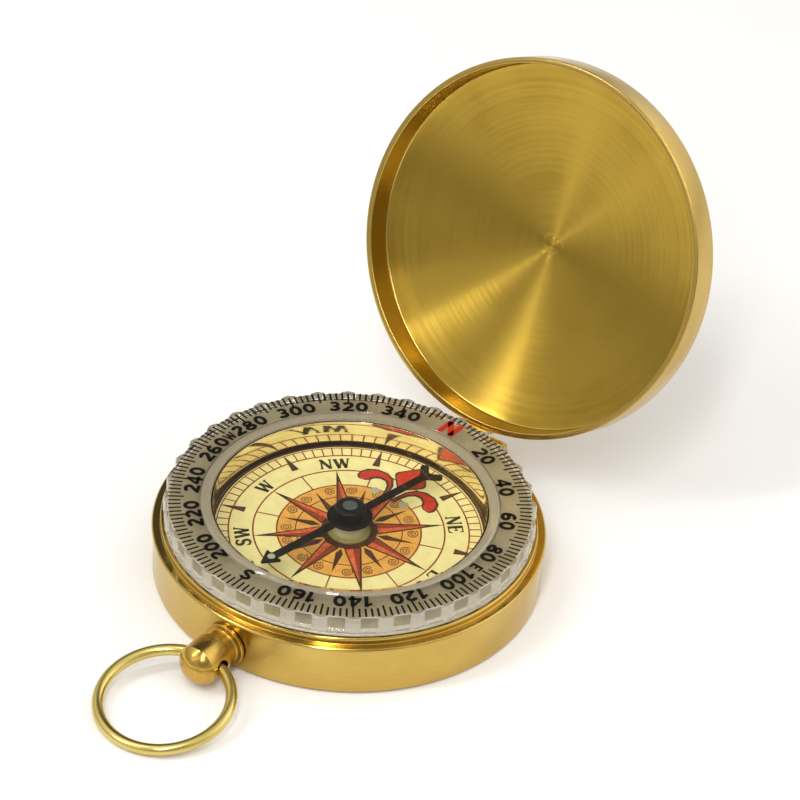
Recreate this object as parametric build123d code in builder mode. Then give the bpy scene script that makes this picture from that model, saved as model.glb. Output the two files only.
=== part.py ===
# Pocket compass: a brass case with a hinged lid, a turning clear bezel,
# a free needle over a printed dial, and a bow ring on a pendant stem.
# Millimetres. The origin is the centre of the case's underside, +Z is up
# through the pivot, +Y points at the lid hinge and -Y at the pendant.
import os
from math import asin, cos, degrees, sin, sqrt

from build123d import *

# Case
case_radius = 24.8
case_wall = 2.2
case_floor = 1.2
base_chamfer = 0.4
wall_height = 6.6
bead_height = 0.55
bead_overhang = 0.2
shoulder_height = 0.85
shoulder_step = 0.9
ledge_width = 0.5

# Inner cup, dial and pivot
cup_wall = 0.8
cup_floor = 0.8
cup_depth = 4.9
flange_thickness = 0.8
dial_thickness = 0.4
boss_radius = 2.7
boss_height = 0.3
boss_chamfer = 0.12
pin_radius = 0.4
pin_point = 0.9
lume_thickness = 0.08
dial_dot_radius = 0.65
dial_dot_place = 8.7
dial_dot_angle = 15.0

# Bezel, its grey backing and the lens
bezel_inset = 0.3
bezel_width = 4.7
bezel_height = 2.35
bump_count = 36
bump_radius = 1.3
bump_rise = 0.5
bezel_turn = -2.0
bezel_top_chamfer = 0.2
bezel_lift = 0.2
step_height = 1.45
backing_thickness = 0.15
backing_margin = 0.7
lens_thickness = 1.0
lens_overlap = 0.8
lens_bevel_width = 0.9
lens_bevel_drop = 0.4
spigot_depth = 0.4
rebate_width = 0.3

# Needle
needle_gap = 2.55
needle_angle = 259.0
needle_width = 1.1
needle_thickness = 0.3
head_length = 2.5
head_width = 3.05
head_notch = 0.6
tail_width = 4.1
tail_notch = 1.2
tail_length = 2.3
tail_lobe = 0.8
tip_dot_radius = 0.5
tip_dot_place = 1.8
hub_radius = 2.9
cap_radius = 2.0
cap_height = 1.5
cap_roof = 0.3
cap_wall = 0.3
cap_chamfer = 0.3
hub_dot_radius = 0.94
jewel_radius = 0.75
jewel_height = 1.1
jewel_mouth = 0.5
jewel_depth = 0.8
jewel_sleeve = 0.25
needle_headroom = 0.3

# Lid and its hinge
lid_wall = 0.8
lid_top = 0.8
lid_headroom = 0.1
lid_dome_rise = 2.7
lid_corner = 0.6
lid_inner_corner = 0.3
lid_rim_chamfer = 0.12
open_angle = 111.5
knuckle_radius = 1.05
hinge_pin_radius = 0.5
hinge_drop = 0.9
middle_knuckle = 4.0
side_knuckle = 3.4
leaf_thickness = 0.7
case_leaf_drop = 4.6
lid_leaf_rise = 3.2
heel_length = 2.0
heel_thickness = 0.5

# Pendant stem and bow ring
pendant_level = 3.2
collar_radius = 2.95
collar_length = 0.5
neck_radius = 2.2
neck_length = 1.8
barrel_radius = 2.7
barrel_length = 3.25
dome_length = 1.6
dome_fillet = 0.1
stud_radius = 1.2
stud_overrun = 0.3
nut_radius = 1.9
nut_thickness = 1.2
bow_hole_place = 1.6
bow_radius = 8.1
bow_wire = 0.73

# Clearances
running_fit = 0.1
close_fit = 0.05
seat_fit = 0.02
pin_fit = 0.04
axial_play = 0.1
table_gap = 0.02

# Levels and radii that follow from the sizes above
bead_top = wall_height + bead_height
bead_radius = case_radius + bead_overhang
shoulder_top = bead_top + shoulder_height
shoulder_radius = case_radius - shoulder_step
case_bore = case_radius - case_wall
flange_radius = case_bore + ledge_width
ledge_level = shoulder_top - flange_thickness
bezel_radius = shoulder_radius - bezel_inset
lens_radius = bezel_radius - bezel_width
cup_outer = lens_radius - lens_overlap
cup_radius = cup_outer - cup_wall
needle_reach = cup_radius - needle_gap
bezel_bottom = shoulder_top + bezel_lift + backing_thickness
bezel_top = bezel_bottom + bezel_height
bezel_step = bezel_bottom + step_height
lens_seat = bezel_step + axial_play
lens_top = lens_seat + lens_thickness
cup_base = lens_seat - cup_depth
dial_top = cup_base + dial_thickness
spigot_radius = cup_radius + rebate_width
spigot_bottom = lens_seat - spigot_depth

os.makedirs("parts", exist_ok=True)


# Case body: one turned brass cup with a bead, a lid seat and a ledge for the inner cup
with BuildPart() as case_body:
    with BuildSketch(Plane.XZ):
        with BuildLine():
            Polyline(
                (0, 0),
                (case_radius - base_chamfer, 0),
                (case_radius, base_chamfer),
                (case_radius, wall_height),
            )
            ThreePointArc(
                (case_radius, wall_height),
                (bead_radius, wall_height + bead_height / 2),
                (case_radius, bead_top),
            )
            Polyline(
                (case_radius, bead_top),
                (shoulder_radius, bead_top),
                (shoulder_radius, shoulder_top),
                (flange_radius + seat_fit, shoulder_top),
                (flange_radius + seat_fit, ledge_level),
                (case_bore, ledge_level),
                (case_bore, case_floor),
                (0, case_floor),
                (0, 0),
            )
        make_face()
    revolve(axis=Axis.Z)
    with BuildSketch(Plane.XZ):
        with Locations((0, pendant_level)):
            Circle(stud_radius + close_fit)
    extrude(amount=bead_radius, mode=Mode.SUBTRACT)
case_body.part.label = "case_body"
export_step(case_body.part, "parts/case_body.step")


# Inner cup: a polished brass bowl hung in the case by its flange; the lens closes its rim
with BuildPart() as inner_cup:
    with BuildSketch(Plane.XZ):
        with BuildLine():
            Polyline(
                (0, cup_base - cup_floor),
                (cup_outer, cup_base - cup_floor),
                (cup_outer, ledge_level),
                (flange_radius, ledge_level),
                (flange_radius, shoulder_top),
                (cup_outer, shoulder_top),
                (cup_outer, lens_seat),
                (spigot_radius + close_fit, lens_seat),
                (spigot_radius + close_fit, spigot_bottom),
                (cup_radius, spigot_bottom),
                (cup_radius, cup_base),
                (0, cup_base),
                (0, cup_base - cup_floor),
            )
        make_face()
    revolve(axis=Axis.Z)
    with Locations((0, 0, cup_base)):
        Hole(pin_radius + seat_fit)
inner_cup.part.label = "inner_cup"
export_step(inner_cup.part, "parts/inner_cup.step")


# Dial card: a printed disc on the floor of the inner cup
with BuildPart() as dial_card:
    with BuildSketch(Plane.XY.offset(cup_base)):
        Circle(cup_radius - running_fit)
        Circle(pin_radius + seat_fit, mode=Mode.SUBTRACT)
    extrude(amount=dial_thickness)
dial_card.part.label = "dial_card"
export_step(dial_card.part, "parts/dial_card.step")


# Dial boss: the low round foot of the pivot
with BuildPart() as dial_boss:
    with BuildSketch(Plane.XY.offset(dial_top)):
        Circle(boss_radius)
        Circle(pin_radius + seat_fit, mode=Mode.SUBTRACT)
    extrude(amount=boss_height)
    boss_rim = dial_boss.faces().sort_by(Axis.Z)[-1].outer_wire().edges()
    chamfer(boss_rim, length=boss_chamfer)
dial_boss.part.label = "dial_boss"
export_step(dial_boss.part, "parts/dial_boss.step")


# Luminous dots: two paint pads on the dial, either side of its north mark
with BuildPart() as dial_lume_dots:
    with BuildSketch(Plane.XY.offset(dial_top)):
        with PolarLocations(
            dial_dot_place, 2, 90 - dial_dot_angle, 2 * dial_dot_angle, endpoint=True
        ):
            Circle(dial_dot_radius)
    extrude(amount=lume_thickness)
dial_lume_dots.part.label = "dial_lume_dots"
export_step(dial_lume_dots.part, "parts/dial_lume_dots.step")


# Needle levels: the cap hangs just under the lens, the blade lies under the cap
cap_top = spigot_bottom - needle_headroom
blade_top = cap_top - cap_height
blade_bottom = blade_top - needle_thickness
jewel_top = cap_top - cap_roof
jewel_bottom = jewel_top - jewel_height
pin_top = jewel_bottom + jewel_depth - close_fit

# Pivot pin: a pointed steel pin pressed into the floor of the inner cup
with BuildPart() as pivot_pin:
    with BuildSketch(Plane.XZ):
        Polygon(
            (0, cup_base - cup_floor),
            (pin_radius, cup_base - cup_floor),
            (pin_radius, pin_top - pin_point),
            (0, pin_top),
            align=None,
        )
    revolve(axis=Axis.Z)
pivot_pin.part.label = "pivot_pin"
export_step(pivot_pin.part, "parts/pivot_pin.step")


# Lens: a clear window with a spigot in the cup's rebate and a bevelled flange over the bezel
with BuildPart() as lens:
    with BuildSketch(Plane.XZ):
        Polygon(
            (0, spigot_bottom),
            (spigot_radius, spigot_bottom),
            (spigot_radius, lens_seat),
            (lens_radius, lens_seat),
            (lens_radius, lens_top - lens_bevel_drop),
            (lens_radius - lens_bevel_width, lens_top),
            (0, lens_top),
            align=None,
        )
    revolve(axis=Axis.Z)
lens.part.label = "lens"
export_step(lens.part, "parts/lens.step")


# Bezel ring: clear, with a bump every ten degrees, turning on the inner cup under the lens flange
with BuildPart() as bezel_ring:
    with BuildSketch(Plane.XY.offset(bezel_bottom)):
        Circle(bezel_radius - bump_rise)
        with PolarLocations(bezel_radius - bump_radius, bump_count, start_angle=bezel_turn):
            Circle(bump_radius)
    extrude(amount=bezel_height)
    chamfer(bezel_ring.faces().sort_by(Axis.Z)[-1].edges(), length=bezel_top_chamfer)
    with BuildSketch(Plane.XY.offset(bezel_bottom)):
        Circle(cup_outer + running_fit)
    extrude(amount=bezel_height, mode=Mode.SUBTRACT)
    with BuildSketch(Plane.XY.offset(bezel_step)):
        Circle(lens_radius + running_fit)
    extrude(amount=bezel_top - bezel_step, mode=Mode.SUBTRACT)
bezel_ring.part.label = "bezel_ring"
export_step(bezel_ring.part, "parts/bezel_ring.step")


# Scale backing: a grey ring stuck under the clear bezel
with BuildPart() as scale_backing:
    with BuildSketch(Plane.XY.offset(bezel_bottom - backing_thickness)):
        Circle(bezel_radius - backing_margin)
        Circle(lens_radius, mode=Mode.SUBTRACT)
    extrude(amount=backing_thickness)
scale_backing.part.label = "scale_backing"
export_step(scale_backing.part, "parts/scale_backing.step")


# Needle blade: black strip with an arrow head, a fishtail and a round hub plate
needle_plane = Plane((0, 0, blade_bottom)).rotated((0, 0, needle_angle - 90))
with BuildPart() as needle_blade:
    with BuildSketch(needle_plane):
        with Locations((0, tail_notch - needle_reach)):
            Rectangle(
                needle_width,
                2 * needle_reach - head_length + head_notch - tail_notch,
                align=(Align.CENTER, Align.MIN),
            )
        Polygon(
            (0, needle_reach),
            (-head_width / 2, needle_reach - head_length),
            (0, needle_reach - head_length + head_notch),
            (head_width / 2, needle_reach - head_length),
            align=None,
        )
        Polygon(
            (-needle_width / 2, tail_length - needle_reach),
            (-tail_width / 2, tail_lobe - needle_reach),
            (tail_lobe - tail_width / 2, -needle_reach),
            (0, tail_notch - needle_reach),
            (tail_width / 2 - tail_lobe, -needle_reach),
            (tail_width / 2, tail_lobe - needle_reach),
            (needle_width / 2, tail_length - needle_reach),
            align=None,
        )
        Circle(hub_radius)
        Circle(jewel_radius + jewel_sleeve, mode=Mode.SUBTRACT)
    extrude(amount=needle_thickness)
needle_blade.part.label = "needle_blade"
export_step(needle_blade.part, "parts/needle_blade.step")


# Needle cap: a black drum on the hub plate, hollow for the magnet and the jewel
sleeve_radius = jewel_radius + jewel_sleeve
with BuildPart() as needle_cap:
    with BuildSketch(Plane.XZ):
        Polygon(
            (jewel_radius + seat_fit, blade_top),
            (sleeve_radius, blade_top),
            (sleeve_radius, jewel_top),
            (cap_radius - cap_wall, jewel_top),
            (cap_radius - cap_wall, blade_top),
            (cap_radius, blade_top),
            (cap_radius, cap_top - cap_chamfer),
            (cap_radius - cap_chamfer, cap_top),
            (0, cap_top),
            (0, jewel_top),
            (jewel_radius + seat_fit, jewel_top),
            align=None,
        )
    revolve(axis=Axis.Z)
needle_cap.part.label = "needle_cap"
export_step(needle_cap.part, "parts/needle_cap.step")


# Needle magnet: a ring magnet in the drum, resting on the hub plate
with BuildPart() as needle_magnet:
    with BuildSketch(Plane.XY.offset(blade_top)):
        Circle(cap_radius - cap_wall - close_fit)
        Circle(sleeve_radius + close_fit, mode=Mode.SUBTRACT)
    extrude(amount=cap_height - cap_roof - close_fit)
needle_magnet.part.label = "needle_magnet"
export_step(needle_magnet.part, "parts/needle_magnet.step")


# Needle jewel: the hard bearing cup that rides on the pivot's point
with BuildPart() as needle_jewel:
    with BuildSketch(Plane.XZ):
        Polygon(
            (jewel_mouth, jewel_bottom),
            (jewel_radius, jewel_bottom),
            (jewel_radius, jewel_top),
            (0, jewel_top),
            (0, jewel_bottom + jewel_depth),
            align=None,
        )
    revolve(axis=Axis.Z)
needle_jewel.part.label = "needle_jewel"
export_step(needle_jewel.part, "parts/needle_jewel.step")


# Needle lume: paint pads on the drum's top and on the arrow head
with BuildPart() as needle_lume_hub:
    with BuildSketch(Plane.XY.offset(cap_top)):
        Circle(hub_dot_radius)
    extrude(amount=lume_thickness)
needle_lume_hub.part.label = "needle_lume_hub"
export_step(needle_lume_hub.part, "parts/needle_lume_hub.step")

with BuildPart() as needle_lume_tip:
    with BuildSketch(needle_plane.offset(needle_thickness)):
        with Locations((0, needle_reach - tip_dot_place)):
            Circle(tip_dot_radius)
    extrude(amount=lume_thickness)
needle_lume_tip.part.label = "needle_lume_tip"
export_step(needle_lume_tip.part, "parts/needle_lume_tip.step")


# Lid levels, closed on the bead; the open lid is the closed one turned back about the hinge
lid_rim = bead_top + close_fit
lid_ceiling = lens_top + lid_headroom
lid_inner = case_radius + running_fit - lid_wall
lid_outer = case_radius + running_fit
lid_crown = lid_ceiling + lid_dome_rise + lid_top
inner_dome_radius = (lid_inner**2 + lid_dome_rise**2) / (2 * lid_dome_rise)
outer_dome_radius = inner_dome_radius + lid_top
lid_shoulder = lid_crown - outer_dome_radius + (outer_dome_radius**2 - lid_outer**2) ** 0.5
hinge_y = bead_radius + knuckle_radius + close_fit
hinge_z = lid_rim - hinge_drop
lid_place = Location((0, hinge_y, hinge_z), (-open_angle, 0, 0)) * Location((0, -hinge_y, -hinge_z))
lid_level = Plane(lid_place)
lid_section = Plane(lid_level.origin, x_dir=lid_level.x_dir, z_dir=-lid_level.y_dir)
lid_side = Plane(lid_level.origin, x_dir=lid_level.y_dir, z_dir=lid_level.x_dir)

# Lid shell: a turned brass cup with a domed back, which slips over the case's shoulder
with BuildPart() as lid_shell:
    with BuildSketch(lid_section) as lid_profile:
        with BuildLine():
            Polyline(
                (0, lid_ceiling + lid_dome_rise),
                (0, lid_crown),
            )
            RadiusArc((lid_outer, lid_shoulder), (0, lid_crown), -outer_dome_radius)
            Polyline(
                (lid_outer, lid_shoulder),
                (lid_outer, lid_rim + lid_rim_chamfer),
                (lid_outer - lid_rim_chamfer, lid_rim),
                (lid_inner + lid_rim_chamfer, lid_rim),
                (lid_inner, lid_rim + lid_rim_chamfer),
                (lid_inner, lid_ceiling),
            )
            RadiusArc((0, lid_ceiling + lid_dome_rise), (lid_inner, lid_ceiling), inner_dome_radius)
        make_face()
        fillet(lid_profile.vertices().sort_by_distance((lid_outer, lid_shoulder))[0], lid_corner)
        fillet(lid_profile.vertices().sort_by_distance((lid_inner, lid_ceiling))[0], lid_inner_corner)
    revolve(axis=Axis(lid_level.origin, lid_level.z_dir))
lid_shell.part.label = "lid_shell"
export_step(lid_shell.part, "parts/lid_shell.step")


# Case hinge leaf: a strap on the case wall with two knuckles
knuckle_gap = close_fit
hinge_half = middle_knuckle / 2 + knuckle_gap + side_knuckle
leaf_face = case_radius + leaf_thickness
with BuildPart() as case_hinge_leaf:
    with BuildSketch(Plane.XY.offset(hinge_z - case_leaf_drop)):
        with Locations((0, (leaf_face + case_radius - case_wall) / 2)):
            Rectangle(2 * hinge_half, leaf_face - case_radius + case_wall)
        Circle(case_radius + seat_fit, mode=Mode.SUBTRACT)
    extrude(amount=case_leaf_drop - knuckle_radius - heel_thickness)
    for side in (-1, 1):
        knuckle_start = side * (middle_knuckle / 2 + knuckle_gap)
        with BuildSketch(Plane.YZ.offset(knuckle_start)):
            with Locations((hinge_y, hinge_z)):
                Circle(knuckle_radius)
            with Locations((leaf_face - leaf_thickness / 4, hinge_z - case_leaf_drop / 4)):
                Rectangle(leaf_thickness / 2, case_leaf_drop / 2)
            with Locations((hinge_y, hinge_z)):
                Circle(hinge_pin_radius + seat_fit, mode=Mode.SUBTRACT)
        extrude(amount=side * side_knuckle)
case_hinge_leaf.part.label = "case_hinge_leaf"
export_step(case_hinge_leaf.part, "parts/case_hinge_leaf.step")


# Hinge pin: a plain brass rod held in the case's two knuckles
with BuildPart() as hinge_pin:
    with BuildSketch(Plane.YZ.offset(-hinge_half)):
        with Locations((hinge_y, hinge_z)):
            Circle(hinge_pin_radius)
    extrude(amount=2 * hinge_half)
hinge_pin.part.label = "hinge_pin"
export_step(hinge_pin.part, "parts/hinge_pin.step")


# Lid hinge leaf: a block on the lid wall, one knuckle, and a heel that stops the open lid
heel_face = leaf_face + close_fit - hinge_y
with BuildPart() as lid_hinge_leaf:
    with BuildSketch(lid_side.offset(-middle_knuckle / 2)):
        with Locations((hinge_y, hinge_z)):
            Circle(knuckle_radius)
        with Locations((leaf_face - leaf_thickness / 4, hinge_z + hinge_drop)):
            Rectangle(leaf_thickness / 2, 2 * hinge_drop)
        with Locations((hinge_y, hinge_z)):
            Polygon(
                (heel_face, 0),
                (heel_face, -heel_length),
                (heel_face + heel_thickness, -heel_length),
                (heel_face + heel_thickness, 0),
                align=None,
                rotation=open_angle,
            )
    extrude(amount=middle_knuckle)
    with BuildSketch(lid_level.offset(lid_rim)):
        with Locations((0, leaf_face - leaf_thickness)):
            Rectangle(middle_knuckle, 2 * leaf_thickness)
        Circle(lid_outer + seat_fit, mode=Mode.SUBTRACT)
    extrude(amount=lid_leaf_rise)
    with BuildSketch(lid_side.offset(-middle_knuckle / 2)):
        with Locations((hinge_y, hinge_z)):
            Circle(hinge_pin_radius + pin_fit)
    extrude(amount=middle_knuckle, mode=Mode.SUBTRACT)
lid_hinge_leaf.part.label = "lid_hinge_leaf"
export_step(lid_hinge_leaf.part, "parts/lid_hinge_leaf.step")


# Pendant: a turned brass stem with a thin collar on the wall, a neck, a domed barrel and a threaded stud
collar_back = case_radius + seat_fit
collar_front = collar_back + collar_length
barrel_back = collar_front + neck_length
barrel_front = barrel_back + barrel_length
hole_y = -(barrel_back + bow_hole_place)
dome_radius = (barrel_radius**2 + dome_length**2) / (2 * dome_length)
bow_sag = bow_radius - sqrt(bow_radius**2 - barrel_radius**2)
bow_hole_radius = bow_wire + bow_sag / 2 + running_fit
nut_face = sqrt(case_bore**2 - nut_radius**2) - seat_fit
stud_end = nut_face - nut_thickness - stud_overrun
with BuildPart() as pendant:
    with BuildSketch(Plane.YZ):
        with BuildLine():
            Polyline(
                (-stud_end, pendant_level),
                (-stud_end, pendant_level + stud_radius),
                (-collar_back, pendant_level + stud_radius),
                (-collar_back, pendant_level + collar_radius),
                (-collar_front, pendant_level + collar_radius),
                (-collar_front, pendant_level + neck_radius),
                (-barrel_back, pendant_level + neck_radius),
                (-barrel_back, pendant_level + barrel_radius),
                (-barrel_front, pendant_level + barrel_radius),
            )
            RadiusArc(
                (-barrel_front, pendant_level + barrel_radius),
                (-barrel_front - dome_length, pendant_level),
                -dome_radius,
            )
            Line((-barrel_front - dome_length, pendant_level), (-stud_end, pendant_level))
        make_face()
    revolve(axis=Axis((0, 0, pendant_level), (0, 1, 0)))
    dome_edge = pendant.edges().filter_by_position(Axis.Y, -barrel_front - seat_fit, -barrel_front + seat_fit)
    fillet(dome_edge.filter_by(GeomType.CIRCLE), radius=dome_fillet)
    with BuildSketch(Plane.YZ):
        with Locations((hole_y, pendant_level)):
            Circle(bow_hole_radius)
    extrude(amount=collar_radius, both=True, mode=Mode.SUBTRACT)
pendant.part.label = "pendant"
export_step(pendant.part, "parts/pendant.step")


# Pendant nut: a round brass nut that draws the stem against the wall from inside
with BuildPart() as pendant_nut:
    with BuildSketch(Plane.XZ.offset(nut_face)):
        with Locations((0, pendant_level)):
            Circle(nut_radius)
            Circle(stud_radius + seat_fit, mode=Mode.SUBTRACT)
    extrude(amount=-nut_thickness)
pendant_nut.part.label = "pendant_nut"
export_step(pendant_nut.part, "parts/pendant_nut.step")


# Bow ring: a brass wire ring through the stem's cross hole, its far side lying on the table
bow_reach = bow_radius - bow_sag / 2
bow_tilt = asin((pendant_level - bow_wire - table_gap) / (bow_reach + bow_radius))
bow_centre = (0, hole_y - bow_reach * cos(bow_tilt), pendant_level - bow_reach * sin(bow_tilt))
bow_plane = Plane(bow_centre, x_dir=(1, 0, 0), z_dir=(0, -sin(bow_tilt), cos(bow_tilt)))
bow_section = Plane(bow_plane.origin, x_dir=bow_plane.x_dir, z_dir=-bow_plane.y_dir)
with BuildPart() as bow_ring:
    with BuildSketch(bow_section):
        with Locations((bow_radius, 0)):
            Circle(bow_wire)
    revolve(axis=Axis(bow_plane.origin, bow_plane.z_dir))
bow_ring.part.label = "bow_ring"
export_step(bow_ring.part, "parts/bow_ring.step")

print("hinge axis y", round(hinge_y, 3), "z", round(hinge_z, 3))
print("bow axis y", round(hole_y, 3), "z", pendant_level, "tilt", round(degrees(bow_tilt), 2))
print("lens top", round(lens_top, 2), "closed height", round(lid_crown, 2))
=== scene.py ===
# Pocket compass: a dry card compass in a turned brass case, with a hinged lid, a clear
# turning bezel and a bow ring. Sizes are in millimetres, in the frame of the CAD model.
import math

import bmesh
import bpy
from mathutils import Matrix, Vector


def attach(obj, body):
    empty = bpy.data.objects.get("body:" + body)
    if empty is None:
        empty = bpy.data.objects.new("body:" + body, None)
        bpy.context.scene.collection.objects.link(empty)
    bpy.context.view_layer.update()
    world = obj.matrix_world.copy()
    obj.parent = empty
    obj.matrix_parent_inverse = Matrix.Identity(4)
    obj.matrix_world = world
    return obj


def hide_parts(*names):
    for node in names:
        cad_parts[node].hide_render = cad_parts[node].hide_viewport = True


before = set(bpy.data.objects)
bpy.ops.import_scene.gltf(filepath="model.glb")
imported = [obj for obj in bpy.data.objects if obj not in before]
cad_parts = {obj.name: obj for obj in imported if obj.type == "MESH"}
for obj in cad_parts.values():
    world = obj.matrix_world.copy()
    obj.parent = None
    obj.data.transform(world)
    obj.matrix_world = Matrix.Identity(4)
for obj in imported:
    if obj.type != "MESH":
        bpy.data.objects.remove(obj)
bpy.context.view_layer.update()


# Case body
# A shallow cup turned from brass bar and polished on a wheel: a plain wall, a rolled bead
# that the shut lid rests on, and a shoulder that the lid slips over.
MM = 0.001


def linear(colour):
    """An sRGB hex colour as linear RGBA."""
    parts = [int(colour[i:i + 2], 16) / 255 for i in (1, 3, 5)]
    return [p / 12.92 if p <= 0.04045 else ((p + 0.055) / 1.055) ** 2.4 for p in parts] + [1.0]


def add_node(tree, kind, settings=None, links=None):
    """One shader node, with its own settings or input values, and the sockets linked to its inputs."""
    node = tree.nodes.new(kind)
    for key, value in (settings or {}).items():
        if isinstance(key, str) and key in node.bl_rna.properties:
            setattr(node, key, value)
        else:
            node.inputs[key].default_value = value
    for key, socket in (links or {}).items():
        tree.links.new(socket, node.inputs[key])
    return node


def new_finish(name):
    """An empty material and its nodes."""
    finish = bpy.data.materials.new(name)
    finish.use_nodes = True
    finish.node_tree.nodes.clear()
    return finish, finish.node_tree


def turned_brass(name, bright, dull, gloss, satin, line, depth, brush=0.0, metal=1.0):
    """A face from the lathe: colours, roughness range, line spacing and depth, brushing, metal or not."""
    finish, tree = new_finish(name)
    where = add_node(tree, "ShaderNodeTexCoord").outputs["Object"]
    axes = add_node(tree, "ShaderNodeSeparateXYZ", links={0: where})
    flat = add_node(tree, "ShaderNodeCombineXYZ", links={0: axes.outputs[0], 1: axes.outputs[1]})
    out = add_node(tree, "ShaderNodeVectorMath", {"operation": "LENGTH"}, {0: flat.outputs[0]})
    along = add_node(tree, "ShaderNodeCombineXYZ", links={0: out.outputs["Value"], 2: axes.outputs[2]})
    lines = add_node(tree, "ShaderNodeTexNoise", {"Scale": 1 / (line * MM), "Detail": 3.0},
                     {"Vector": along.outputs[0]})
    cloud = add_node(tree, "ShaderNodeTexNoise", {"Scale": 1 / (7.0 * MM), "Detail": 4.0},
                     {"Vector": where})
    both = add_node(tree, "ShaderNodeMath", {"operation": "MULTIPLY"},
                    {0: lines.outputs[0], 1: cloud.outputs[0]})
    wear = add_node(tree, "ShaderNodeMapRange", {"From Min": 0.12, "From Max": 0.4},
                    {"Value": both.outputs[0]})
    colour = add_node(tree, "ShaderNodeMix", {"data_type": "RGBA", 6: linear(bright), 7: linear(dull)},
                      {0: wear.outputs[0]})
    rough = add_node(tree, "ShaderNodeMapRange", {"To Min": gloss, "To Max": satin},
                     {"Value": wear.outputs[0]})
    groove = add_node(tree, "ShaderNodeBump", {"Strength": 1.0, "Distance": depth * MM},
                      {"Height": lines.outputs[0]})
    links = {"Base Color": colour.outputs[2], "Roughness": rough.outputs[0], "Normal": groove.outputs[0]}
    if brush:
        links["Tangent"] = add_node(tree, "ShaderNodeTangent",
                                    {"direction_type": "RADIAL", "axis": "Z"}).outputs[0]
    shader = add_node(tree, "ShaderNodeBsdfPrincipled",
                      {"Metallic": metal, "Anisotropic": brush, "Anisotropic Rotation": 0.25}, links)
    add_node(tree, "ShaderNodeOutputMaterial", links={"Surface": shader.outputs[0]})
    return finish


def rounded(corners, arc_steps=6):
    """The closed outline through (x, y, rounding) corners, each turned into an arc of that radius."""
    outline = []
    for i, (x, y, rounding) in enumerate(corners):
        here = Vector((x, y))
        back = Vector(corners[i - 1][:2]) - here
        ahead = Vector(corners[(i + 1) % len(corners)][:2]) - here
        if not rounding:
            outline.append((x, y))
            continue
        half = back.angle(ahead) / 2
        reach = min(rounding / math.tan(half), 0.49 * back.length, 0.49 * ahead.length)
        middle = (back.normalized() + ahead.normalized()).normalized()
        centre = here + middle * (reach / math.cos(half))
        first = here + back.normalized() * reach - centre
        last = here + ahead.normalized() * reach - centre
        sweep = first.angle_signed(last)
        for k in range(arc_steps + 1):
            turn = Matrix.Rotation(-sweep * k / arc_steps, 2)
            outline.append(tuple(centre + turn @ first))
    return outline


def turned(name, outline, steps=288, swell=None):
    """A mesh turned about Z from a closed (radius, height) outline. A third value swells that radius."""
    shape = bmesh.new()
    rings = []
    for point in outline:
        radius, height = point[:2]
        ring = []
        for i in range(steps):
            turn = 2 * math.pi * i / steps
            reach = radius + (swell(turn) * point[2] if len(point) > 2 else 0)
            if radius == 0 and ring:
                ring.append(ring[0])
            else:
                ring.append(shape.verts.new((reach * math.cos(turn), reach * math.sin(turn), height)))
        rings.append(ring)
    for low, high in zip(rings, rings[1:] + rings[:1]):
        for i in range(steps):
            corners = dict.fromkeys((low[i - 1], low[i], high[i], high[i - 1]))
            if len(corners) > 2:
                shape.faces.new(corners)
    bmesh.ops.recalc_face_normals(shape, faces=shape.faces)
    mesh = bpy.data.meshes.new(name)
    shape.to_mesh(mesh)
    shape.free()
    return mesh


def bored(mesh, radius, place, depth=12.0):
    """The mesh with a round hole bored along the place's own Z."""
    tool = bmesh.new()
    bmesh.ops.create_cone(tool, cap_ends=True, segments=64, radius1=radius, radius2=radius, depth=depth)
    tool.transform(place)
    drill_mesh = bpy.data.meshes.new("drill")
    tool.to_mesh(drill_mesh)
    tool.free()
    drill = bpy.data.objects.new("drill", drill_mesh)
    blank = bpy.data.objects.new("blank", mesh)
    bpy.context.scene.collection.objects.link(drill)
    bpy.context.scene.collection.objects.link(blank)
    cut = blank.modifiers.new("cut", "BOOLEAN")
    cut.object = drill
    cut.solver = "EXACT"
    done = bpy.data.meshes.new_from_object(blank.evaluated_get(bpy.context.evaluated_depsgraph_get()))
    bpy.data.objects.remove(blank)
    bpy.data.objects.remove(drill)
    return done


def fit(name, mesh, finishes, body, nodes=(), place=None, crease=30.0):
    """Puts a finished mesh on its body, in place of the CAD nodes that it stands for."""
    mesh.transform(Matrix.Scale(MM, 4))
    mesh.shade_smooth()
    mesh.set_sharp_from_angle(angle=math.radians(crease))
    for finish in finishes:
        mesh.materials.append(finish)
    piece = bpy.data.objects.new(name, mesh)
    bpy.context.scene.collection.objects.link(piece)
    if place is not None:
        piece.matrix_world = place
    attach(piece, body)
    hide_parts(*nodes)
    return piece


# Polished brass: a warm yellow mirror, a little veiled by lines about 0.05 mm apart from the
# last cut, drawn 0.2 mm apart so that they show, and by faint uneven tarnish.
polished_brass = turned_brass("polished_brass", "#CBAE60", "#BD9B4B", 0.12, 0.26, 0.2, 0.0012)

case_radius, shoulder_radius = 24.8, 23.9
bead_low, bead_high, bead_swell = 6.6, 7.15, 0.2
seat_level, seat_edge, ledge_level = 8.0, 23.4, 7.2
bead = []
for k in range(9):
    lift = math.sin(math.pi * k / 8)
    bead.append((case_radius + bead_swell * lift, bead_low + (bead_high - bead_low) * k / 8, 0))
case_outline = [
    (0, 0, 0), (24.35, 0, 0.12), (case_radius, 0.42, 0.12), *bead,
    (shoulder_radius, bead_high, 0.1), (shoulder_radius, seat_level, 0.22), (seat_edge, seat_level, 0),
    (23.12, seat_level, 0.05), (23.12, ledge_level, 0), (22.6, ledge_level, 0.05), (22.6, 1.2, 0.4),
    (0, 1.2, 0),
]
stem_level, stem_hole = 3.2, 1.22
stem_axis = Matrix.Translation((0, -case_radius, stem_level)) @ Matrix.Rotation(math.radians(90), 4, "X")
case_mesh = bored(turned("case_body", rounded(case_outline)), stem_hole, stem_axis)
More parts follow.
